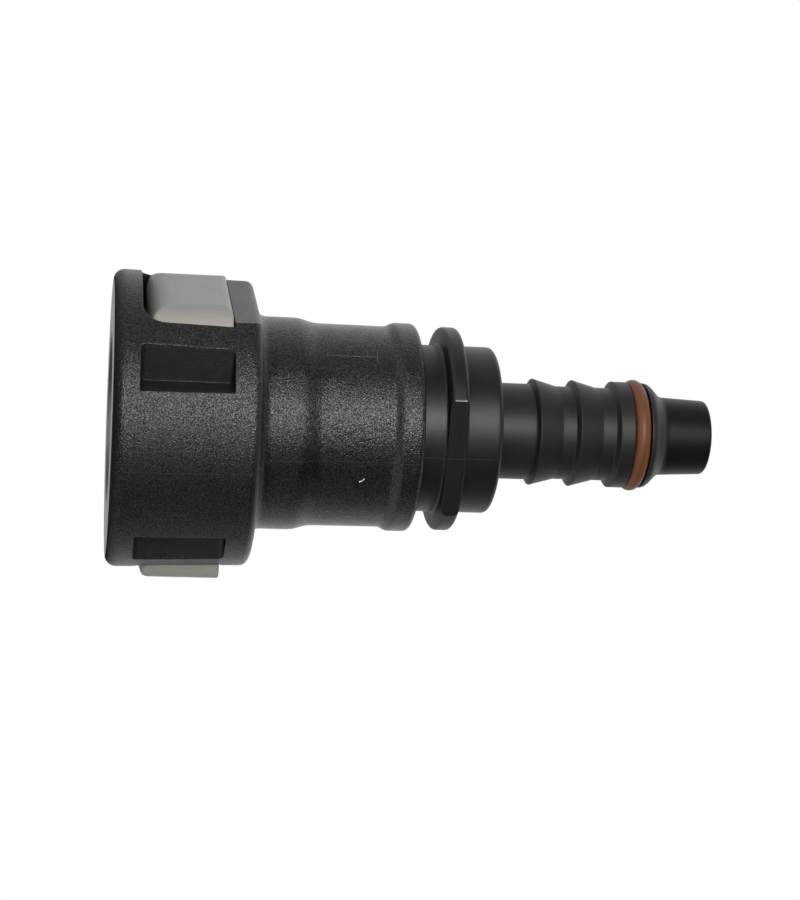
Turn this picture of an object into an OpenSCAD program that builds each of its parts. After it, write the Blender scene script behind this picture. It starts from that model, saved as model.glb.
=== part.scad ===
// Fuel line quick connector: a push-on housing with a squeeze-to-release retainer,
// two spigot seals held by a bush, and a barbed stem with a seal of its own.
// The bore axis is +Z. The mouth is at z = 0, and the barbed stem points up.
// The release buttons face -X and +X, and the latch jaws face -Y and +Y.

/* [Spigot it takes] */
// Diameter of the pipe spigot that is pushed in
spigot_d = 7.89; // [7.8:0.01:7.95]
// Diameter of the bead that the jaws hold
bead_d = 10.4; // [10.2:0.1:10.4]

/* [Head] */
// Outer radius of the head at the mouth
head_r = 10.83; // [10.7:0.01:11.2]
// How much smaller the head is at its rear edge
head_draft = 0.23; // [0:0.01:0.3]
// Thickness of the wall behind the retainer chamber
rear_wall_t = 1.15; // [0.9:0.05:2]
// Rounding of the front edge of the head
head_front_round = 0.8; // [0.3:0.05:1]
// Rounding of the rear edge of the head
head_rear_round = 0.7; // [0.3:0.05:0.8]
// Radial clearance of the mouth on the bead
mouth_clearance = 0.7; // [0.5:0.05:0.9]
// Chamfer round the mouth
mouth_chamfer = 0.5; // [0.2:0.05:0.8]

/* [Retainer chamber] */
// Thickness of the front wall, from the mouth face to the chamber
front_wall_t = 1.7; // [1.4:0.05:1.8]
// Length of the chamber
chamber_l = 7.5; // [7.4:0.05:7.7]
// Radius of the chamber
chamber_r = 8.2; // [8.2:0.05:8.3]
// Rounding of the rear corners of the button windows
window_rear_round = 0.15; // [0.05:0.05:0.4]
// Depth of the flat behind each button, below the radius of the head
recess_depth = 1.58; // [1.2:0.01:1.6]
// Rounding of the rear edge of that flat
recess_rear_round = 0.55; // [0.2:0.05:0.6]

/* [Corner pockets] */
// Distance from the axis to the side wall of a pocket
pocket_y = 7.11; // [6.9:0.01:7.4]
// Distance from the axis to the floor of a pocket
pocket_x = 5.42; // [5.2:0.02:5.8]
// Thickness of the wall in front of the pockets
pocket_front_t = 1.83; // [1.5:0.01:2.4]
// Length of the pockets
pocket_l = 6.5; // [5:0.1:7.2]
// Rounding of the pocket corners
pocket_round = 0.35; // [0.1:0.05:0.6]

/* [Barrel] */
// Radius of the fillet between the head and the barrel
neck_fillet = 0.8; // [0.4:0.05:1.2]
// Radius of the band next to the head
front_band_r = 7.83; // [7.7:0.01:8]
// Length of that band, from the rear face of the head
front_band_l = 2.85; // [2:0.05:4]
// Length of the slope from that band to the waist
front_slope_l = 1.8; // [0.8:0.05:2.4]
// Radius of the waist beside the front band
waist_front_r = 7.48; // [7.3:0.01:7.6]
// Radius of the waist beside the rear band
waist_rear_r = 7.45; // [7.3:0.01:7.6]
// Length of the waist
waist_l = 4.9; // [4:0.05:6]
// Length of the slope from the waist to the rear band
rear_slope_l = 0.85; // [0.5:0.05:1.2]
// Radius of the rear band
rear_band_r = 7.74; // [7.65:0.01:7.9]
// Length of the rear band
rear_band_l = 1.45; // [1:0.05:2]
// Rounding of the edge of the rear band
rear_band_round = 0.4; // [0.1:0.05:0.6]

/* [Hub and flange] */
// Radius of the hub behind the barrel
hub_r = 6.21; // [6:0.01:6.6]
// Length of the hub
hub_l = 5.95; // [5.6:0.05:7]
// Rounding of the end of the hub
hub_round = 0.4; // [0.1:0.05:0.8]
// Width of the groove between the barrel and the flange
groove_w = 1.85; // [1.5:0.05:2.6]
// Radius of the flange
flange_r = 7.58; // [7.2:0.02:8]
// Thickness of the flange
flange_t = 1.33; // [0.9:0.01:1.6]
// Rounding of the flange edge
flange_round = 0.35; // [0.05:0.05:0.4]
// Radius of the fillets at the foot of the flange
flange_fillet = 0.2; // [0.05:0.05:0.3]
// Distance from the axis to the two flats of the flange, at the parting plane of the mould
flange_flat_y = 6.3; // [6.25:0.01:6.6]
// Draft of those flats on each side of the parting plane, in degrees
flat_draft = 2.5; // [0:0.5:5]

/* [Barbed stem] */
// Radius of the plain neck of the stem
neck_r = 3.6; // [3.4:0.02:3.8]
// Length of the neck, from the hub to the crest of the first barb
neck_l = 3.25; // [2.6:0.05:5]
// Radius of the fillet between the hub and the neck
neck_root_fillet = 0.3; // [0.05:0.05:0.6]
// Radius at the crest of the barbs
barb_r = 4; // [3.9:0.01:4.1]
// Radius at the root of the barbs
barb_root_r = 3.5; // [3.3:0.02:3.6]
// Number of barbs
barbs = 3; // [2:1:5]
// Distance between two barb crests
barb_pitch = 3.05; // [2.8:0.05:4]
// Length of the steep back of a barb
barb_back_l = 0.25; // [0.1:0.05:0.5]
// Length of the slope in front of a barb
barb_slope_l = 1.78; // [1.2:0.02:2]
// Length of the land between the last barb and the seal groove
seal_land_l = 1.05; // [0.6:0.05:2]
// Thickness of the lip in front of the seal groove
lip_t = 0.1; // [0.05:0.05:0.5]
// Radius of that lip
lip_r = 3.97; // [3.8:0.01:4.05]
// Length of the soft slope from the lip to the tip
flare_l = 1.45; // [0.8:0.05:2]
// Radius of the tip at the foot of that slope
tip_root_r = 2.95; // [2.9:0.01:3.2]
// Radius of the tip at its end
tip_end_r = 2.8; // [2.7:0.01:2.9]
// Length of the tip
tip_l = 3.4; // [2:0.05:5]
// Rounding of the end of the tip
tip_round = 0.25; // [0.05:0.05:0.4]
// Radius of the flow bore in the stem
flow_r = 2; // [1.6:0.05:2.2]
// Chamfer at the outlet of the flow bore
flow_chamfer = 0.15; // [0.05:0.05:0.3]

/* [Seals inside] */
// Thickness of the spigot seals
seal_d = 2.1; // [1.9:0.02:2.15]
// How far a spigot seal reaches inside the radius of the spigot
seal_bite = 0.145; // [0.05:0.005:0.2]
// Room left between loose rings and what holds them
ring_gap = 0.05; // [0.02:0.01:0.1]
// Thickness of the spacer ring
spacer_t = 1.5; // [1:0.1:1.6]
// Radial clearance of the bush and the spacer on the spigot
bush_clearance = 0.105; // [0.05:0.005:0.2]
// Radius of the bush collar
bush_collar_r = 7; // [6.6:0.1:7.4]
// Thickness of the bush collar
bush_collar_t = 0.5; // [0.3:0.05:0.55]
// Length of the bush sleeve
bush_sleeve_l = 3.2; // [2:0.1:3.4]
// Lead-in chamfer of the bush
bush_lead = 0.5; // [0.2:0.05:0.7]

/* [Pilot bore] */
// Radial clearance of the spigot in the pilot bore
pilot_clearance = 0.055; // [0.02:0.005:0.15]
// Length of the pilot bore
pilot_l = 7.6; // [6:0.1:8]
// Chamfer at the start of the pilot bore
pilot_chamfer = 0.5; // [0.1:0.05:0.8]
// Length of the cone from the pilot bore to the flow bore
pilot_cone_l = 1.2; // [0.8:0.1:1.6]

/* [Retainer] */
// Room round the retainer, in which its jaws open
retainer_side_gap = 0.5; // [0.5:0.01:0.6]
// Distance from the axis to the centres of those arcs
retainer_arc_offset = 0.9; // [0.9:0.02:1]
// Thickness of the retainer wall
retainer_wall_t = 0.7; // [0.5:0.05:0.7]
// Room between the retainer and the ends of its chamber
retainer_end_gap = 0.1; // [0.05:0.05:0.15]
// How far the free retainer lies off the axis, towards +X
retainer_float = 0.44; // [0:0.01:0.44]
// Height of the spring arms
arm_h = 4.2; // [3:0.1:5]
// Half width of a latch jaw
jaw_half_w = 2.8; // [2:0.1:2.8]
// Radial clearance of the jaws on the spigot
jaw_clearance = 0.255; // [0.2:0.005:0.3]
// Length of a latch jaw
jaw_l = 4.2; // [3.4:0.1:4.2]
// Length of the straight crown of a jaw, which bears on the spigot
jaw_crown_l = 1.4; // [0.8:0.1:1.8]
// Thickness of a jaw at its front edge
jaw_nose_t = 1.1; // [0.8:0.05:1.2]

/* [Release buttons] */
// How far the face of a button lies below the radius of the head, with the retainer centred
button_setback = 0.43; // [0.2:0.01:0.6]
// Half width of a button
button_half_w = 5.5; // [5.3:0.02:5.6]
// Length of a button
button_l = 5.85; // [5.5:0.05:6]
// How far the rear of a button lies in front of the rear edge of the retainer
button_rear_step = 0.25; // [0.1:0.01:0.4]
// Room between a button and the sides and rear of its window
button_gap = 0.1; // [0.1:0.01:0.15]
// Room in front of a button
button_front_gap = 0.45; // [0.4:0.05:0.65]
// Rounding of the long edges of a button
button_side_round = 1.9; // [0.8:0.05:2]
// Rounding of the front corners of a button
button_front_round = 1.4; // [0.6:0.05:1.6]
// Rounding of the rear corners of a button
button_rear_round = 0.25; // [0.1:0.05:0.6]
// Rounding of the front edge of the button's face
button_front_edge = 1.5; // [0.8:0.05:1.6]
// Rounding of the rear edge of the button's face
button_rear_edge = 0.5; // [0.2:0.05:1]
// How much narrower the wall that carries a button is, on each side
button_root_step = 1.2; // [1.1:0.05:1.4]

/* [Stem seal] */
// Thickness of the stem seal
stem_seal_d = 1.2; // [1:0.02:1.24]
// How far the stem seal stands out beyond the barbs
stem_seal_proud = 0.2; // [0.1:0.02:0.3]
// Width of the groove for the stem seal
stem_seal_groove_w = 1.3; // [1.26:0.02:1.6]

/* [Hidden] */
$fn = 96;
over = 1;
arc_steps = 6;
slope_steps = 6;

// Places along the axis, each worked out from the one before it
chamber_z0 = front_wall_t;
chamber_z1 = chamber_z0 + chamber_l;
head_l = chamber_z1 + rear_wall_t;
recess_flat_x = head_r - recess_depth;
front_band_z1 = head_l + front_band_l;
waist_z0 = front_band_z1 + front_slope_l;
waist_z1 = waist_z0 + waist_l;
rear_band_z0 = waist_z1 + rear_slope_l;
barrel_z1 = rear_band_z0 + rear_band_l;
flange_z0 = barrel_z1 + groove_w;
flange_z1 = flange_z0 + flange_t;
hub_z1 = barrel_z1 + hub_l;
first_crest_z = hub_z1 + neck_l;
last_crest_z = first_crest_z + (barbs - 1) * barb_pitch;
stem_groove_z0 = last_crest_z + seal_land_l;
stem_groove_z1 = stem_groove_z0 + stem_seal_groove_w;
flare_z0 = stem_groove_z1 + lip_t;
tip_z0 = flare_z0 + flare_l;
tip_z1 = tip_z0 + tip_l;

// The spigot, its seals and the bores that hold them
mouth_r = bead_d / 2 + mouth_clearance;
spigot_r = spigot_d / 2;
seal_in_r = spigot_r - seal_bite;
gland_r = seal_in_r + seal_d + ring_gap;
gland_ring_r = gland_r - ring_gap;
bush_bore_r = spigot_r + bush_clearance;
bush_z1 = chamber_z1 + bush_sleeve_l;
outer_seal_z = bush_z1 + ring_gap + seal_d / 2;
spacer_z0 = outer_seal_z + seal_d / 2 + ring_gap;
inner_seal_z = spacer_z0 + spacer_t + ring_gap + seal_d / 2;
gland_z1 = inner_seal_z + seal_d / 2 + ring_gap;
pilot_r = spigot_r + pilot_clearance;
pilot_z1 = gland_z1 + pilot_l;
flow_z0 = pilot_z1 + pilot_cone_l;

// The retainer, which fills its chamber lengthwise up to the bush
retainer_arc_r = chamber_r - retainer_side_gap;
retainer_z0 = chamber_z0 + retainer_end_gap;
retainer_z1 = chamber_z1 - bush_collar_t - 2 * retainer_end_gap;
jaw_r = spigot_r + jaw_clearance;
jaw_z1 = retainer_z0 + jaw_l;
jaw_crown_z0 = jaw_z1 - jaw_crown_l;
jaw_back_y = retainer_arc_r - retainer_arc_offset;
button_face_x = head_r - button_setback;
button_root_half_w = button_half_w - button_root_step;
button_foot_x = ring_gap + sqrt(pow(retainer_arc_r, 2)
                                - pow(button_root_half_w + retainer_arc_offset, 2));
button_z1 = retainer_z1 - button_rear_step;
button_z0 = button_z1 - button_l;
window_z0 = button_z0 - button_front_gap;
window_z1 = button_z1 + button_gap;
window_half_w = button_half_w + button_gap;
window_front_round = button_front_round + button_gap;

// The stem seal and its groove
stem_seal_z = (stem_groove_z0 + stem_groove_z1) / 2;
stem_seal_out_r = barb_r + stem_seal_proud;
stem_groove_r = stem_seal_out_r - stem_seal_d - ring_gap / 2;

// Points along an arc of radius r, from angle a0 to angle a1
function arc(centre, r, a0, a1) =
    [for (i = [0:arc_steps]) centre + r * [cos(a0 + (a1 - a0) * i / arc_steps),
                                           sin(a0 + (a1 - a0) * i / arc_steps)]];

// Points of a soft slope from radius r0 at height z0 to radius r1 at height z1
function soft_slope(r0, z0, r1, z1) =
    [for (i = [0:slope_steps]) [r0 + (r1 - r0) * (1 - cos(180 * i / slope_steps)) / 2,
                                z0 + (z1 - z0) * i / slope_steps]];

// The outside of the housing in pieces, as radius and height, from the mouth to the tip
function head_outline() = concat(
    arc([head_r - head_front_round, head_front_round], head_front_round, -90, 0),
    arc([head_r - head_draft - head_rear_round, head_l - head_rear_round], head_rear_round, 0, 90));

function barrel_outline() = concat(
    arc([front_band_r + neck_fillet, head_l + neck_fillet], neck_fillet, 270, 180),
    soft_slope(front_band_r, front_band_z1, waist_front_r, waist_z0),
    soft_slope(waist_rear_r, waist_z1, rear_band_r, rear_band_z0),
    arc([rear_band_r - rear_band_round, barrel_z1 - rear_band_round], rear_band_round, 0, 90));

function hub_outline() = concat(
    [[hub_r, barrel_z1]],
    arc([hub_r + flange_fillet, flange_z0 - flange_fillet], flange_fillet, 180, 90),
    arc([flange_r - flange_round, flange_z0 + flange_round], flange_round, -90, 0),
    arc([flange_r - flange_round, flange_z1 - flange_round], flange_round, 0, 90),
    arc([hub_r + flange_fillet, flange_z1 + flange_fillet], flange_fillet, 270, 180),
    arc([hub_r - hub_round, hub_z1 - hub_round], hub_round, 0, 90));

function barb_outline(crest_z) = [
    [barb_root_r, crest_z - barb_back_l],
    [barb_r, crest_z],
    [barb_root_r, crest_z + barb_slope_l]
];

function stem_outline() = concat(
    arc([neck_r + neck_root_fillet, hub_z1 + neck_root_fillet], neck_root_fillet, 270, 180),
    [[neck_r, first_crest_z - barb_back_l]],
    [for (i = [0:barbs - 2]) each barb_outline(first_crest_z + i * barb_pitch)],
    [[barb_root_r, last_crest_z - barb_back_l], [barb_r, last_crest_z],
     [barb_r, stem_groove_z0], [stem_groove_r, stem_groove_z0],
     [stem_groove_r, stem_groove_z1], [lip_r, stem_groove_z1]],
    soft_slope(lip_r, flare_z0, tip_root_r, tip_z0),
    arc([tip_end_r - tip_round, tip_z1 - tip_round], tip_round, 0, 90));

// The hollow of the housing, from the mouth to the outlet
function hollow_outline() = [
    [0, -over], [mouth_r + mouth_chamfer + over, -over], [mouth_r, mouth_chamfer],
    [mouth_r, chamber_z0], [chamber_r, chamber_z0], [chamber_r, chamber_z1],
    [gland_r, chamber_z1], [gland_r, gland_z1],
    [pilot_r + pilot_chamfer, gland_z1], [pilot_r, gland_z1 + pilot_chamfer],
    [pilot_r, pilot_z1], [flow_r, flow_z0], [flow_r, tip_z1 - flow_chamfer],
    [flow_r + flow_chamfer + over, tip_z1 + over], [0, tip_z1 + over]
];

// A block along +X from x0 to x1, rounded at its front and rear corners as seen along X
module rounded_block(x0, x1, half_w, z0, z1, front_round, rear_round) {
    outline = concat(
        arc([-half_w + front_round, z0 + front_round], front_round, 180, 270),
        arc([half_w - front_round, z0 + front_round], front_round, 270, 360),
        arc([half_w - rear_round, z1 - rear_round], rear_round, 0, 90),
        arc([-half_w + rear_round, z1 - rear_round], rear_round, 90, 180));
    translate([x0, 0, 0])
        rotate([90, 0, 90])
            linear_extrude(x1 - x0) polygon(outline);
}

// Four pockets with square corners, as the two halves of the mould leave them
module corner_pockets() {
    half_reach = (head_r + over - pocket_y) / 2;
    for (side_x = [0, 1], side_y = [0, 1])
        mirror([side_x, 0, 0]) mirror([0, side_y, 0])
            translate([0, pocket_y + half_reach, 0])
                rounded_block(pocket_x, head_r + over, half_reach, pocket_front_t,
                              pocket_front_t + pocket_l, pocket_round, pocket_round);
}

// The windows for the two buttons, with the flats behind them that guide a finger
module button_windows() {
    for (side_x = [0, 1])
        mirror([side_x, 0, 0]) {
            rounded_block(pocket_x, head_r + over, window_half_w, window_z0, window_z1,
                          window_front_round, window_rear_round);
            rotate([90, 0, 0])
                linear_extrude(2 * head_r, center = true)
                    polygon(concat(
                        [[recess_flat_x, window_z1 - window_rear_round]],
                        arc([recess_flat_x - recess_rear_round, head_l - recess_rear_round],
                            recess_rear_round, 0, 90),
                        [[recess_flat_x - recess_rear_round, head_l + over],
                         [head_r + over, head_l + over],
                         [head_r + over, window_z1 - window_rear_round]]));
        }
}

// Two flats on the flange, each with draft both ways from the parting plane at x = 0
module flange_flats() {
    reach = flange_r + over;
    drop = reach * tan(flat_draft);
    for (side_y = [0, 1])
        mirror([0, side_y, 0])
            translate([0, 0, flange_z0])
                linear_extrude(flange_t)
                    polygon([[-reach, flange_flat_y - drop], [0, flange_flat_y],
                             [reach, flange_flat_y - drop], [reach, reach], [-reach, reach]]);
}

module housing() {
    color([0.13, 0.14, 0.14])
        difference() {
            rotate_extrude()
                polygon(concat([[0, 0]], head_outline(), barrel_outline(), hub_outline(),
                               stem_outline(), [[0, tip_z1]]));
            rotate_extrude() polygon(hollow_outline());
            corner_pockets();
            button_windows();
            flange_flats();
        }
}

// The oval that two arcs make, wider along X than along Y
module retainer_oval(arc_r, z0, z1) {
    intersection_for (side_y = [-1, 1])
        translate([0, side_y * retainer_arc_offset, z0])
            cylinder(r = arc_r, h = z1 - z0);
}

module retainer_wall(z0, z1) {
    difference() {
        retainer_oval(retainer_arc_r, z0, z1);
        retainer_oval(retainer_arc_r - retainer_wall_t, z0 - over, z1 + over);
    }
}

// A button with rounded edges, on the piece of the retainer wall that carries it
module release_button() {
    side_profile = concat(
        [[0, button_z0]],
        arc([button_face_x - button_front_edge, button_z0 + button_front_edge],
            button_front_edge, -90, 0),
        arc([button_face_x - button_rear_edge, button_z1 - button_rear_edge],
            button_rear_edge, 0, 90),
        [[0, button_z1]]);
    end_profile = concat(
        [[0, -button_half_w]],
        arc([button_face_x - button_side_round, button_side_round - button_half_w],
            button_side_round, -90, 0),
        arc([button_face_x - button_side_round, button_half_w - button_side_round],
            button_side_round, 0, 90),
        [[0, button_half_w]]);
    color([0.58, 0.58, 0.57]) {
        difference() {
            intersection() {
                rounded_block(button_foot_x, button_face_x, button_half_w, button_z0, button_z1,
                              button_front_round, button_rear_round);
                rotate([90, 0, 0])
                    linear_extrude(2 * button_half_w, center = true) polygon(side_profile);
                linear_extrude(button_z1 + over) polygon(end_profile);
            }
            retainer_oval(retainer_arc_r - retainer_wall_t, -over, button_z1 + over);
        }
        intersection() {
            retainer_wall(retainer_z0, retainer_z1);
            translate([0, -button_root_half_w, 0])
                cube([retainer_arc_r, 2 * button_root_half_w, retainer_z1]);
        }
    }
}

// A jaw on the +Y side: it leads the bead in from the mouth and stops it square behind
module latch_jaw() {
    color([0.58, 0.58, 0.57])
        intersection() {
            rotate_extrude()
                polygon([[jaw_r, jaw_crown_z0], [jaw_r, jaw_z1], [retainer_arc_r, jaw_z1],
                         [retainer_arc_r, retainer_z0], [jaw_back_y - jaw_nose_t, retainer_z0]]);
            retainer_oval(retainer_arc_r, 0, retainer_z1);
            translate([-jaw_half_w, 0, 0])
                cube([2 * jaw_half_w, retainer_arc_r, retainer_z1]);
        }
}

// The four thin arms that bend, from the edges of the buttons to the sides of the jaws
module retainer_spring_arms() {
    color([0.58, 0.58, 0.57])
        translate([retainer_float, 0, 0])
            difference() {
                retainer_wall(retainer_z0, retainer_z0 + arm_h);
                translate([-jaw_half_w, -retainer_arc_r, 0])
                    cube([2 * jaw_half_w, 2 * retainer_arc_r, retainer_z1]);
                translate([-retainer_arc_r, -button_root_half_w, 0])
                    cube([2 * retainer_arc_r, 2 * button_root_half_w, retainer_z1]);
            }
}

module left_release_button() {
    translate([retainer_float, 0, 0]) mirror([1, 0, 0]) release_button();
}

module right_release_button() {
    translate([retainer_float, 0, 0]) release_button();
}

module front_latch_jaw() {
    translate([retainer_float, 0, 0]) mirror([0, 1, 0]) latch_jaw();
}

module rear_latch_jaw() {
    translate([retainer_float, 0, 0]) latch_jaw();
}

// The bush that closes the gland, with a collar on the floor of the chamber
module seal_bush() {
    color([0.2, 0.2, 0.2])
        rotate_extrude()
            polygon([[bush_bore_r + bush_lead, chamber_z1 - bush_collar_t],
                     [bush_collar_r, chamber_z1 - bush_collar_t], [bush_collar_r, chamber_z1],
                     [gland_ring_r, chamber_z1], [gland_ring_r, bush_z1],
                     [bush_bore_r, bush_z1], [bush_bore_r, chamber_z1 - bush_collar_t + bush_lead]]);
}

// A rubber ring of thickness d, of inner radius in_r, with its middle at height z
module seal_ring(in_r, d, z) {
    translate([0, 0, z])
        rotate_extrude()
            translate([in_r + d / 2, 0]) circle(d = d, $fn = 48);
}

module outer_seal_ring() {
    color([0.1, 0.1, 0.1]) seal_ring(seal_in_r, seal_d, outer_seal_z);
}

module inner_seal_ring() {
    color([0.1, 0.1, 0.1]) seal_ring(seal_in_r, seal_d, inner_seal_z);
}

module spacer_ring() {
    color([0.2, 0.2, 0.2])
        translate([0, 0, spacer_z0])
            difference() {
                cylinder(r = gland_ring_r, h = spacer_t);
                translate([0, 0, -over]) cylinder(r = bush_bore_r, h = spacer_t + 2 * over);
            }
}

module stem_seal_ring() {
    color([0.5, 0.3, 0.2])
        seal_ring(stem_seal_out_r - stem_seal_d, stem_seal_d, stem_seal_z);
}

housing();
left_release_button();
right_release_button();
front_latch_jaw();
rear_latch_jaw();
retainer_spring_arms();
seal_bush();
outer_seal_ring();
spacer_ring();
inner_seal_ring();
stem_seal_ring();
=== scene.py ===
import math

import bmesh
import bpy
from mathutils import Matrix, Vector


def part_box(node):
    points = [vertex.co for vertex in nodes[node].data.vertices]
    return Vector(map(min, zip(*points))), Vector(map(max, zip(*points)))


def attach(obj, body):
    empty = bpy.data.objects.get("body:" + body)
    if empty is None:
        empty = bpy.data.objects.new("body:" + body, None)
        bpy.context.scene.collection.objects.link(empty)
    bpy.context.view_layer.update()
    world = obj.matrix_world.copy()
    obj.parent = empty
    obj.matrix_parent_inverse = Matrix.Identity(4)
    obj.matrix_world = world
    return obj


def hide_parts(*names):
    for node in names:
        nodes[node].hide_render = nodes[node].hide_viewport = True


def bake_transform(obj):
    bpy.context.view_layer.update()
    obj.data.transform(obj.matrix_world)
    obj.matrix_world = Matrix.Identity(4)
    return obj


MM = 0.001

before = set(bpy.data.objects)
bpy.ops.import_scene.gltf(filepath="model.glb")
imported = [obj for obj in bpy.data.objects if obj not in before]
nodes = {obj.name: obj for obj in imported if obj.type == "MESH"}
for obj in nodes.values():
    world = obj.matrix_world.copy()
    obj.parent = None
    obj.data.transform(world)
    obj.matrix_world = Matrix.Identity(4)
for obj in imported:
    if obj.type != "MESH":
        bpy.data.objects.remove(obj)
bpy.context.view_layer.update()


# Shader helpers

def new_material(name):
    material = bpy.data.materials.new(name)
    material.use_nodes = True
    tree = material.node_tree
    tree.nodes.clear()
    output = tree.nodes.new("ShaderNodeOutputMaterial")
    shader = tree.nodes.new("ShaderNodeBsdfPrincipled")
    tree.links.new(shader.outputs["BSDF"], output.inputs["Surface"])
    return material, tree, shader


def object_point(tree):
    return tree.nodes.new("ShaderNodeTexCoord").outputs["Object"]


def stretched(tree, vector, scale):
    mapping = tree.nodes.new("ShaderNodeMapping")
    mapping.inputs["Scale"].default_value = scale
    tree.links.new(vector, mapping.inputs["Vector"])
    return mapping.outputs["Vector"]


def noise(tree, vector, scale, detail=3.0, roughness=0.55):
    node = tree.nodes.new("ShaderNodeTexNoise")
    node.inputs["Scale"].default_value = scale
    node.inputs["Detail"].default_value = detail
    node.inputs["Roughness"].default_value = roughness
    tree.links.new(vector, node.inputs["Vector"])
    return node.outputs["Fac"]


def math_node(tree, operation, first, second=None):
    node = tree.nodes.new("ShaderNodeMath")
    node.operation = operation
    for socket, value in zip(node.inputs, (first, second)):
        if value is None:
            continue
        if isinstance(value, (int, float)):
            socket.default_value = value
        else:
            tree.links.new(value, socket)
    return node.outputs[0]


def remap(tree, value, from_low, from_high, to_low, to_high, smooth=False):
    node = tree.nodes.new("ShaderNodeMapRange")
    node.interpolation_type = "SMOOTHSTEP" if smooth else "LINEAR"
    for name, number in (("From Min", from_low), ("From Max", from_high),
                         ("To Min", to_low), ("To Max", to_high)):
        node.inputs[name].default_value = number
    tree.links.new(value, node.inputs["Value"])
    return node.outputs["Result"]


def blend_values(tree, factor, first, second):
    """first where factor is 0, second where it is 1."""
    change = math_node(tree, "MULTIPLY", factor, math_node(tree, "SUBTRACT", second, first))
    return math_node(tree, "ADD", change, first)


def mix_colours(tree, factor, first, second):
    node = tree.nodes.new("ShaderNodeMix")
    node.data_type = "RGBA"
    tree.links.new(factor, node.inputs["Factor"])
    for socket, value in ((node.inputs["A"], first), (node.inputs["B"], second)):
        if isinstance(value, tuple):
            socket.default_value = (*value, 1)
        else:
            tree.links.new(value, socket)
    return node.outputs["Result"]


def bump(tree, height, strength, distance, before=None):
    node = tree.nodes.new("ShaderNodeBump")
    node.inputs["Distance"].default_value = distance
    if isinstance(strength, (int, float)):
        node.inputs["Strength"].default_value = strength
    else:
        tree.links.new(strength, node.inputs["Strength"])
    tree.links.new(height, node.inputs["Height"])
    if before is not None:
        tree.links.new(before, node.inputs["Normal"])
    return node.outputs["Normal"]


def soft_edges(tree, radius):
    """The normal of the surface, with its edges rounded over by a small radius."""
    node = tree.nodes.new("ShaderNodeBevel")
    node.samples = 8
    node.inputs["Radius"].default_value = radius
    return node.outputs["Normal"]


# Materials

HEAD_END_Z = 10.35 * MM
BARREL_END_Z = 22.2 * MM
HUB_END_Z = 28.15 * MM
CONE_Z = 40.3 * MM
TIP_Z = 41.4 * MM
HEAD_SKIN_R = 10.6 * MM
ZONE_EDGE = 0.1 * MM


def housing_plastic():
    """Black moulded plastic: grained on head and barrel, turned-looking hub, smooth stem; a paler
    base is painted on the stem as painted ambient light, and a much paler one on the cone as a
    painted reflection.
    """
    material, tree, shader = new_material("housing_plastic")
    point = object_point(tree)
    axes = tree.nodes.new("ShaderNodeSeparateXYZ")
    tree.links.new(point, axes.inputs["Vector"])
    height = axes.outputs["Z"]
    grain_zone = remap(tree, height, BARREL_END_Z, BARREL_END_Z + ZONE_EDGE, 1, 0)
    stem_zone = remap(tree, height, HUB_END_Z, HUB_END_Z + ZONE_EDGE, 0, 1)
    tip_zone = remap(tree, height, TIP_Z - 0.5 * MM, TIP_Z, 0, 1)

    grain = noise(tree, point, 10000, detail=1, roughness=0.6)
    mottle = noise(tree, point, 420, detail=3)
    rings = noise(tree, stretched(tree, point, (0.03, 0.03, 1.0)), 9000, detail=2)

    shade = mix_colours(tree, remap(tree, mottle, 0.35, 0.65, 0, 1),
                        (0.0020, 0.0024, 0.0021), (0.0029, 0.0034, 0.0030))
    # Painted light: the stem from the hub to the tip gets a paler base colour, painted ambient
    # light from the pale surroundings.
    barb_zone = math_node(tree, "SUBTRACT", stem_zone, tip_zone)
    shade = mix_colours(tree, barb_zone, shade, (0.0062, 0.0066, 0.0060))
    # Painted light: the cone before the tip gets a much paler base colour, a painted reflection of
    # the pale surroundings at the stem end.
    cone_zone = math_node(tree, "SUBTRACT", remap(tree, height, CONE_Z, CONE_Z + ZONE_EDGE, 0, 1),
                          tip_zone)
    shade = mix_colours(tree, cone_zone, shade, (0.0200, 0.0205, 0.0195))
    tree.links.new(shade, shader.inputs["Base Color"])

    head_zone = remap(tree, height, HEAD_END_Z, HEAD_END_Z + ZONE_EDGE, 1, 0)
    radius = tree.nodes.new("ShaderNodeVectorMath")
    radius.operation = "LENGTH"
    tree.links.new(stretched(tree, point, (1.0, 1.0, 0.0)), radius.inputs[0])
    skin_zone = remap(tree, radius.outputs["Value"], HEAD_SKIN_R - ZONE_EDGE, HEAD_SKIN_R, 0, 1)
    inner_zone = math_node(tree, "MULTIPLY", head_zone, math_node(tree, "SUBTRACT", 1.0, skin_zone))
    grained_rough = math_node(tree, "ADD", remap(tree, mottle, 0.3, 0.7, 0.31, 0.35),
                              math_node(tree, "MULTIPLY", head_zone, 0.05))
    smooth_rough = math_node(tree, "ADD", remap(tree, mottle, 0.3, 0.7, 0.44, 0.48),
                             math_node(tree, "MULTIPLY", barb_zone, 0.05))
    rough = blend_values(tree, grain_zone, smooth_rough, grained_rough)
    tree.links.new(rough, shader.inputs["Roughness"])

    sparkle = noise(tree, point, 11500, detail=1)
    glint = remap(tree, sparkle, 0.4, 0.6, 0.24, 0.86)
    glint = blend_values(tree, inner_zone, glint, 0.5)
    plain = remap(tree, tip_zone, 0, 1, 0.46, 0.26)
    tree.links.new(blend_values(tree, grain_zone, plain, glint),
                   shader.inputs["Specular IOR Level"])

    ring_zone = math_node(tree, "SUBTRACT", 1.0, math_node(tree, "ADD", grain_zone, stem_zone))
    normal = bump(tree, grain, grain_zone, 0.045 * MM, soft_edges(tree, 0.12 * MM))
    normal = bump(tree, rings, math_node(tree, "MULTIPLY", ring_zone, 0.35), 0.02 * MM, normal)
    tree.links.new(normal, shader.inputs["Normal"])
    return material


BUTTON_FLAT_HALF_W = 3.6 * MM
BUTTON_HALF_W = 5.5 * MM


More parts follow.
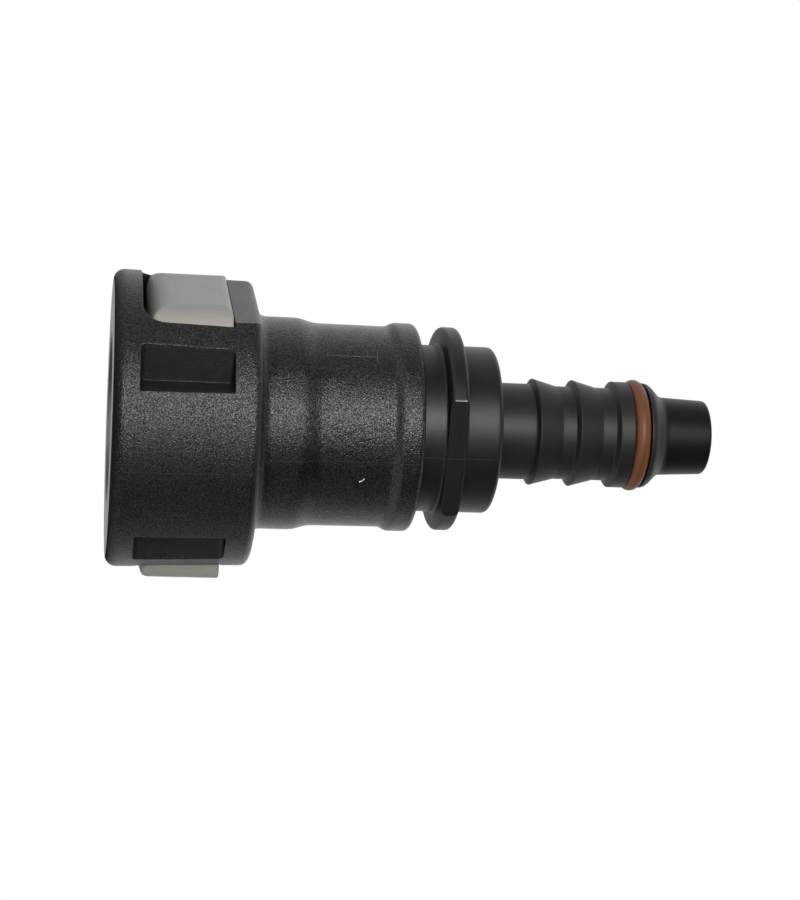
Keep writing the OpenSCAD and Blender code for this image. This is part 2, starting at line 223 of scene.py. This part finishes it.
def retainer_plastic():
    """Light grey plastic, with a paler, warmer colour painted where its long edges round over, as a
    painted highlight and a warm painted reflection.
    """
    material, tree, shader = new_material("retainer_plastic")
    point = object_point(tree)
    axes = tree.nodes.new("ShaderNodeSeparateXYZ")
    tree.links.new(point, axes.inputs["Vector"])
    side = math_node(tree, "ABSOLUTE", axes.outputs["Y"])
    edge = remap(tree, side, BUTTON_FLAT_HALF_W, BUTTON_HALF_W, 0, 1, smooth=True)
    mottle = noise(tree, point, 600, detail=3)
    body = mix_colours(tree, mottle, (0.214, 0.214, 0.210), (0.242, 0.242, 0.237))
    # Painted highlight: the rounded long edges get a paler, warmer colour, a painted highlight with
    # a warm painted reflection.
    tree.links.new(mix_colours(tree, edge, body, (0.332, 0.311, 0.288)),
                   shader.inputs["Base Color"])
    grain = noise(tree, point, 4000, detail=2)
    tree.links.new(remap(tree, mottle, 0.3, 0.7, 0.42, 0.52), shader.inputs["Roughness"])
    edges = soft_edges(tree, 0.3 * MM)
    tree.links.new(bump(tree, grain, 0.2, 0.02 * MM, edges), shader.inputs["Normal"])
    return material


def bush_plastic():
    material, tree, shader = new_material("bush_plastic")
    point = object_point(tree)
    mottle = noise(tree, point, 500, detail=3)
    shade = mix_colours(tree, mottle, (0.04, 0.04, 0.042), (0.06, 0.06, 0.062))
    tree.links.new(shade, shader.inputs["Base Color"])
    tree.links.new(remap(tree, mottle, 0.3, 0.7, 0.38, 0.5), shader.inputs["Roughness"])
    grain = noise(tree, point, 4000, detail=2)
    tree.links.new(bump(tree, grain, 0.15, 0.02 * MM), shader.inputs["Normal"])
    return material


def rubber(name, dark, light, roughness):
    material, tree, shader = new_material(name)
    point = object_point(tree)
    mottle = noise(tree, point, 900, detail=4)
    tree.links.new(mix_colours(tree, mottle, dark, light), shader.inputs["Base Color"])
    tree.links.new(remap(tree, mottle, 0.3, 0.7, roughness - 0.05, roughness + 0.05),
                   shader.inputs["Roughness"])
    tree.links.new(bump(tree, mottle, 0.2, 0.02 * MM), shader.inputs["Normal"])
    return material


def dress(obj, material):
    obj.data.materials.clear()
    obj.data.materials.append(material)


HOUSING_PLASTIC = housing_plastic()
RETAINER_PLASTIC = retainer_plastic()
BUSH_PLASTIC = bush_plastic()
BLACK_RUBBER = rubber("inner_seal_rubber", (0.012, 0.012, 0.012), (0.022, 0.022, 0.022), 0.45)
BROWN_RUBBER = rubber("stem_seal_rubber", (0.104, 0.030, 0.008), (0.132, 0.040, 0.011), 0.5)

# Painted highlight: a paler plastic for the parting-line ridges, in place of the light they catch.
PARTING_LINE_HIGHLIGHT_PLASTIC = rubber("parting_line_highlight_plastic", (0.013, 0.014, 0.013), (0.024, 0.025, 0.023), 0.4)
# Painted highlight: a paler plastic for the insert mark, in place of the light its ridge catches.
PAINTED_HIGHLIGHT_PLASTIC = rubber("painted_highlight_plastic", (0.060, 0.062, 0.060), (0.100, 0.102, 0.098), 0.35)
# Pale plastic for the scuff, which is wear, and for the flange corner, where it is a painted
# highlight.
PALE_SCUFF_AND_HIGHLIGHT = rubber("pale_scuff_and_highlight", (0.65, 0.65, 0.63), (0.80, 0.80, 0.78), 0.5)

dress(nodes["housing"], HOUSING_PLASTIC)
for name in ("left_release_button", "right_release_button", "front_latch_jaw", "rear_latch_jaw"):
    dress(nodes[name], RETAINER_PLASTIC)
for name in ("seal_bush", "spacer_ring"):
    dress(nodes[name], BUSH_PLASTIC)
for name in ("outer_seal_ring", "inner_seal_ring"):
    dress(nodes[name], BLACK_RUBBER)
dress(nodes["stem_seal_ring"], BROWN_RUBBER)


# Shapes

def evenly(start, end, count):
    return [start + (end - start) * i / count for i in range(count + 1)]


def skinned(name, rings):
    """A closed solid with its skin over a row of rings and a cap at each end."""
    mesh = bmesh.new()
    rings = [[mesh.verts.new(point) for point in ring] for ring in rings]
    for ring, following in zip(rings, rings[1:]):
        for i in range(len(ring)):
            j = (i + 1) % len(ring)
            mesh.faces.new((ring[i], ring[j], following[j], following[i]))
    mesh.faces.new(rings[0])
    mesh.faces.new(rings[-1])
    bmesh.ops.recalc_face_normals(mesh, faces=mesh.faces)
    data = bpy.data.meshes.new(name)
    mesh.to_mesh(data)
    mesh.free()
    piece = bpy.data.objects.new(name, data)
    bpy.context.scene.collection.objects.link(piece)
    return piece


# The retainer's thin spring arms between the buttons and the jaws, each built in two halves

FLOAT_X = 0.44 * MM
ARC_R = 7.7 * MM
ARC_OFFSET = 0.9 * MM
WALL_T = 0.7 * MM
JAW_HALF_W = 2.8 * MM
BUTTON_LAP = 0.37 * MM
JAW_LAP = 0.15 * MM
ARM_INSET = 0.02 * MM
BUTTON_ROOT_HALF_W = 4.3 * MM
ARM_SOFT_EDGE = 0.12 * MM
ARM_STEPS = 14

arm_low, arm_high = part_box("retainer_spring_arms")


def arm_point(side_x, side_y, radius, angle, z):
    x = FLOAT_X + side_x * radius * math.cos(angle)
    y = side_y * (radius * math.sin(angle) - ARC_OFFSET)
    return Vector((x, y, z))


def half_arm(name, side_x, side_y, angle_from, angle_to):
    """A curved bar with softened edges, swept from one angle to the other.

    It is a little slimmer than the walls it joins, so that no face lies on one of theirs.
    """
    low, high = arm_low[2] + ARM_INSET, arm_high[2] - ARM_INSET
    outer, inner = ARC_R - ARM_INSET, ARC_R - WALL_T + ARM_INSET
    soft = ARM_SOFT_EDGE
    section = [(inner + soft, low), (outer - soft, low),
               (outer, low + soft), (outer, high - soft),
               (outer - soft, high), (inner + soft, high),
               (inner, high - soft), (inner, low + soft)]
    rings = [[arm_point(side_x, side_y, radius, angle, z) for radius, z in section]
             for angle in evenly(angle_from, angle_to, ARM_STEPS)]
    piece = skinned(name, rings)
    for polygon in piece.data.polygons:
        polygon.use_smooth = len(polygon.vertices) == 4
    dress(piece, RETAINER_PLASTIC)
    return piece


def spring_arms():
    middle_r = ARC_R - WALL_T / 2
    button_angle = math.asin((BUTTON_ROOT_HALF_W + ARC_OFFSET - BUTTON_LAP) / middle_r)
    jaw_angle = math.acos((JAW_HALF_W - JAW_LAP) / middle_r)
    rest_angle = (button_angle + jaw_angle) / 2
    sides = {-1: ("left", "left_button"), 1: ("right", "right_button")}
    ends = {-1: ("front", "front_jaw"), 1: ("rear", "rear_jaw")}
    for side_x, (side_word, button_body) in sides.items():
        for side_y, (end_word, jaw_body) in ends.items():
            stem = f"spring_arm_{side_word}_{end_word}"
            by_button = half_arm(f"{stem}_button_half", side_x, side_y, button_angle, rest_angle)
            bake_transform(by_button)
            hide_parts("retainer_spring_arms")
            by_jaw = half_arm(f"{stem}_jaw_half", side_x, side_y, rest_angle, jaw_angle)
            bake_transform(by_jaw)
            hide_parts("retainer_spring_arms")


spring_arms()


# The photograph's view, worked out in the part's frame

YAW = math.radians(9.1)
ROLL = math.radians(1.88)
AROUND = math.radians(20.8)
CAMERA_DISTANCE = 156.5 * MM
REFERENCE_Z = 21.5 * MM
DROP = 1.70 * MM

along = Vector((0, 0, 1))
towards_side = Vector((-math.sin(AROUND), -math.cos(AROUND), 0))
upwards = Vector((-math.cos(AROUND), math.sin(AROUND), 0))
to_camera = math.cos(YAW) * towards_side - math.sin(YAW) * along
flat_right = math.cos(YAW) * along + math.sin(YAW) * towards_side
image_right = flat_right * math.cos(ROLL) + upwards * math.sin(ROLL)
image_up = upwards * math.cos(ROLL) - flat_right * math.sin(ROLL)
target = REFERENCE_Z * along - DROP * image_up


# Fine marks of the mould on the housing, coloured paler as painted highlight, a scuff of wear, and
# a painted highlight on a flange corner

RIDGE_SINK = 0.02 * MM
PARTING_LINE_START_Z = 0.9 * MM
PARTING_LINE_END_Z = 28.0 * MM
PARTING_LINE_STEPS = 226
INSERT_MARK_ANGLE = 41
SCUFF_ANGLE = -32
FLANGE_CORNER_ANGLE = 15


def surface_point(direction, z):
    """Where a line towards the bore axis at height z first meets the housing."""
    housing = nodes["housing"]
    into_housing = housing.matrix_world.inverted()
    start = 0.03 * direction + Vector((0, 0, z))
    _, place, _, _ = housing.ray_cast(into_housing @ start, into_housing.to_3x3() @ -direction)
    return housing.matrix_world @ place


def thin_ridge(name, points, direction, half_width, rise, material):
    """A ridge of triangular section that follows points on the surface of the housing."""
    rows = []
    for i, point in enumerate(points):
        before, after = points[max(i - 1, 0)], points[min(i + 1, len(points) - 1)]
        run = (after - before).normalized()
        side = run.cross(direction).normalized()
        out = side.cross(run).normalized()
        sink = RIDGE_SINK * out
        rows.append([point - half_width * side - sink,
                     point + rise * out,
                     point + half_width * side - sink])
    piece = skinned(name, rows)
    dress(piece, material)
    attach(piece, "housing")
    return piece


def parting_lines():
    """Where the two halves of the mould met, on both sides from the head to the hub."""
    for word, side_y in (("front", -1), ("rear", 1)):
        direction = Vector((0, side_y, 0))
        points = [surface_point(direction, z) for z in
                  evenly(PARTING_LINE_START_Z, PARTING_LINE_END_Z, PARTING_LINE_STEPS)]
        # The ridge is a real mould line, dressed in a paler plastic as a painted highlight.
        thin_ridge(f"parting_line_{word}", points, direction, 0.04 * MM, 0.015 * MM,
                   PARTING_LINE_HIGHLIGHT_PLASTIC)


def round_the_bore(angle):
    """The direction that stands at this angle above the photograph's side of the part."""
    return math.cos(math.radians(angle)) * towards_side + math.sin(math.radians(angle)) * upwards


def insert_mark():
    """A fine line with three short ticks, left by an insert of the mould."""
    strokes = (("line", [(INSERT_MARK_ANGLE, z * MM) for z in evenly(15.2, 18.85, 12)]),
               ("left_tick", [(angle, 15.2 * MM) for angle in evenly(39, 42.5, 4)]),
               ("middle_tick", [(angle, 18.05 * MM) for angle in evenly(41, 46, 5)]),
               ("right_tick", [(angle, 18.8 * MM) for angle in evenly(36.7, 45.3, 8)]))
    for word, places in strokes:
        points = [surface_point(round_the_bore(angle), z) for angle, z in places]
        # The mark's ridges are real, dressed in a paler plastic as a painted highlight.
        thin_ridge(f"insert_mark_{word}", points, round_the_bore(INSERT_MARK_ANGLE),
                   0.038 * MM, 0.02 * MM, PAINTED_HIGHLIGHT_PLASTIC)


def scuff():
    """A tiny pale burr on the barrel."""
    places = [(-33.1, 17.66), (-32.8, 17.78), (-32.0, 17.93), (-30.8, 18.04)]
    points = [surface_point(round_the_bore(angle), z * MM) for angle, z in places]
    thin_ridge("scuff", points, round_the_bore(SCUFF_ANGLE), 0.07 * MM, 0.04 * MM, PALE_SCUFF_AND_HIGHLIGHT)


def flange_corner_highlight():
    """A pale strip on the corner between the rim of the flange and its flat, a painted highlight.
    """
    direction = round_the_bore(FLANGE_CORNER_ANGLE)
    points = [surface_point(direction, z * MM) for z in evenly(24.3, 25.15, 6)]
    # The pale strip on this corner is a painted highlight.
    thin_ridge("flange_corner_highlight", points, direction, 0.035 * MM, 0.02 * MM, PALE_SCUFF_AND_HIGHLIGHT)


parting_lines()
insert_mark()
scuff()
flange_corner_highlight()


# Camera

def facing(right, up, back, place):
    columns = Matrix((right, up, back)).transposed()
    return Matrix.Translation(place) @ columns.to_4x4()


def add_camera():
    data = bpy.data.cameras.new("camera")
    data.sensor_width = 36
    data.lens = 84
    data.clip_start = 0.005
    camera = bpy.data.objects.new("camera", data)
    camera.matrix_world = facing(image_right, image_up, to_camera,
                                 target + CAMERA_DISTANCE * to_camera)
    bpy.context.scene.collection.objects.link(camera)
    bpy.context.scene.camera = camera


# Lights

LIGHT_DISTANCE = 0.40
LIGHT_COLOUR = (1.0, 1.0, 0.94)
FLOOR_HOLE_R = 10.1 * MM
FLOOR_R = 1.5
FLOOR_STEPS = 96


def softbox(name, direction, across, lengthwise, power):
    """A light so wide across the bore axis and so long beside it."""
    data = bpy.data.lights.new(name, "AREA")
    data.shape = "RECTANGLE"
    data.size = across
    data.size_y = lengthwise
    data.energy = power
    data.color = LIGHT_COLOUR
    light = bpy.data.objects.new(name, data)
    back = direction.normalized()
    side = along.cross(back).normalized()
    light.matrix_world = facing(side, back.cross(side), back, target + LIGHT_DISTANCE * back)
    bpy.context.scene.collection.objects.link(light)


def add_lights():
    """A long softbox just above the camera, and weaker ones towards the mouth and the stem."""
    for name, height, lean, across, lengthwise, power in (
            ("key_light", 12, -18, 0.19, 0.46, 5.4),
            ("mouth_fill", 12, -68, 0.19, 0.30, 2.2),
            ("stem_fill", 6, 42, 0.20, 0.22, 0.1)):
        height, lean = math.radians(height), math.radians(lean)
        level = math.cos(lean) * towards_side + math.sin(lean) * along
        softbox(name, math.cos(height) * level + math.sin(height) * upwards,
                across, lengthwise, power)


def add_world():
    """White behind the object, and round it a soft gradient, pale behind and at both ends."""
    world = bpy.data.worlds.new("studio")
    bpy.context.scene.world = world
    world.use_nodes = True
    tree = world.node_tree
    tree.nodes.clear()
    output = tree.nodes.new("ShaderNodeOutputWorld")
    direction = tree.nodes.new("ShaderNodeTexCoord").outputs["Generated"]

    def share_towards(side):
        node = tree.nodes.new("ShaderNodeVectorMath")
        node.operation = "DOT_PRODUCT"
        tree.links.new(direction, node.inputs[0])
        node.inputs[1].default_value = side
        return node.outputs["Value"]

    pale_side = (-0.9 * towards_side + 0.2 * upwards + 0.35 * along).normalized()
    ends = math_node(tree, "ABSOLUTE", share_towards(along))
    strength = math_node(tree, "ADD", remap(tree, share_towards(pale_side), -0.1, 0.9, 0.0, 1.25),
                         remap(tree, ends, 0.8, 1.0, 0.0, 0.6))
    surroundings = tree.nodes.new("ShaderNodeBackground")
    surroundings.inputs["Color"].default_value = (0.97, 0.99, 1.0, 1)
    tree.links.new(strength, surroundings.inputs["Strength"])
    white = tree.nodes.new("ShaderNodeBackground")
    white.inputs["Color"].default_value = (1, 1, 1, 1)
    white.inputs["Strength"].default_value = 1
    rays = tree.nodes.new("ShaderNodeLightPath")
    seen = math_node(tree, "MAXIMUM", rays.outputs["Is Camera Ray"],
                     rays.outputs["Is Transmission Ray"])
    mix = tree.nodes.new("ShaderNodeMixShader")
    tree.links.new(seen, mix.inputs["Fac"])
    tree.links.new(surroundings.outputs["Background"], mix.inputs[1])
    tree.links.new(white.outputs["Background"], mix.inputs[2])
    tree.links.new(mix.outputs["Shader"], output.inputs["Surface"])


def add_floor():
    """A pale floor that can't be seen from below, where the photograph's camera stands.

    It is a wide ring, so that it leaves the mouth face free.
    """
    mesh = bmesh.new()
    angles = [math.tau * i / FLOOR_STEPS for i in range(FLOOR_STEPS)]
    rims = []
    for radius in (FLOOR_HOLE_R, FLOOR_R):
        rims.append([mesh.verts.new((radius * math.cos(angle), radius * math.sin(angle), 0))
                     for angle in angles])
    inner, outer = rims
    for i in range(FLOOR_STEPS):
        j = (i + 1) % FLOOR_STEPS
        mesh.faces.new((inner[i], outer[i], outer[j], inner[j]))
    data = bpy.data.meshes.new("floor")
    mesh.to_mesh(data)
    mesh.free()
    floor = bpy.data.objects.new("floor", data)
    bpy.context.scene.collection.objects.link(floor)
    material = bpy.data.materials.new("floor_paper")
    material.use_nodes = True
    tree = material.node_tree
    tree.nodes.clear()
    output = tree.nodes.new("ShaderNodeOutputMaterial")
    paper = tree.nodes.new("ShaderNodeBsdfDiffuse")
    paper.inputs["Color"].default_value = (0.93, 0.93, 0.93, 1)
    clear = tree.nodes.new("ShaderNodeBsdfTransparent")
    side = tree.nodes.new("ShaderNodeNewGeometry")
    mix = tree.nodes.new("ShaderNodeMixShader")
    tree.links.new(side.outputs["Backfacing"], mix.inputs["Fac"])
    tree.links.new(paper.outputs["BSDF"], mix.inputs[1])
    tree.links.new(clear.outputs["BSDF"], mix.inputs[2])
    tree.links.new(mix.outputs["Shader"], output.inputs["Surface"])
    floor.data.materials.append(material)


add_camera()
add_lights()
add_world()
add_floor()
bpy.context.scene.view_settings.view_transform = "Standard"


def plain(box):
    return [[float(value) for value in corner] for corner in box]
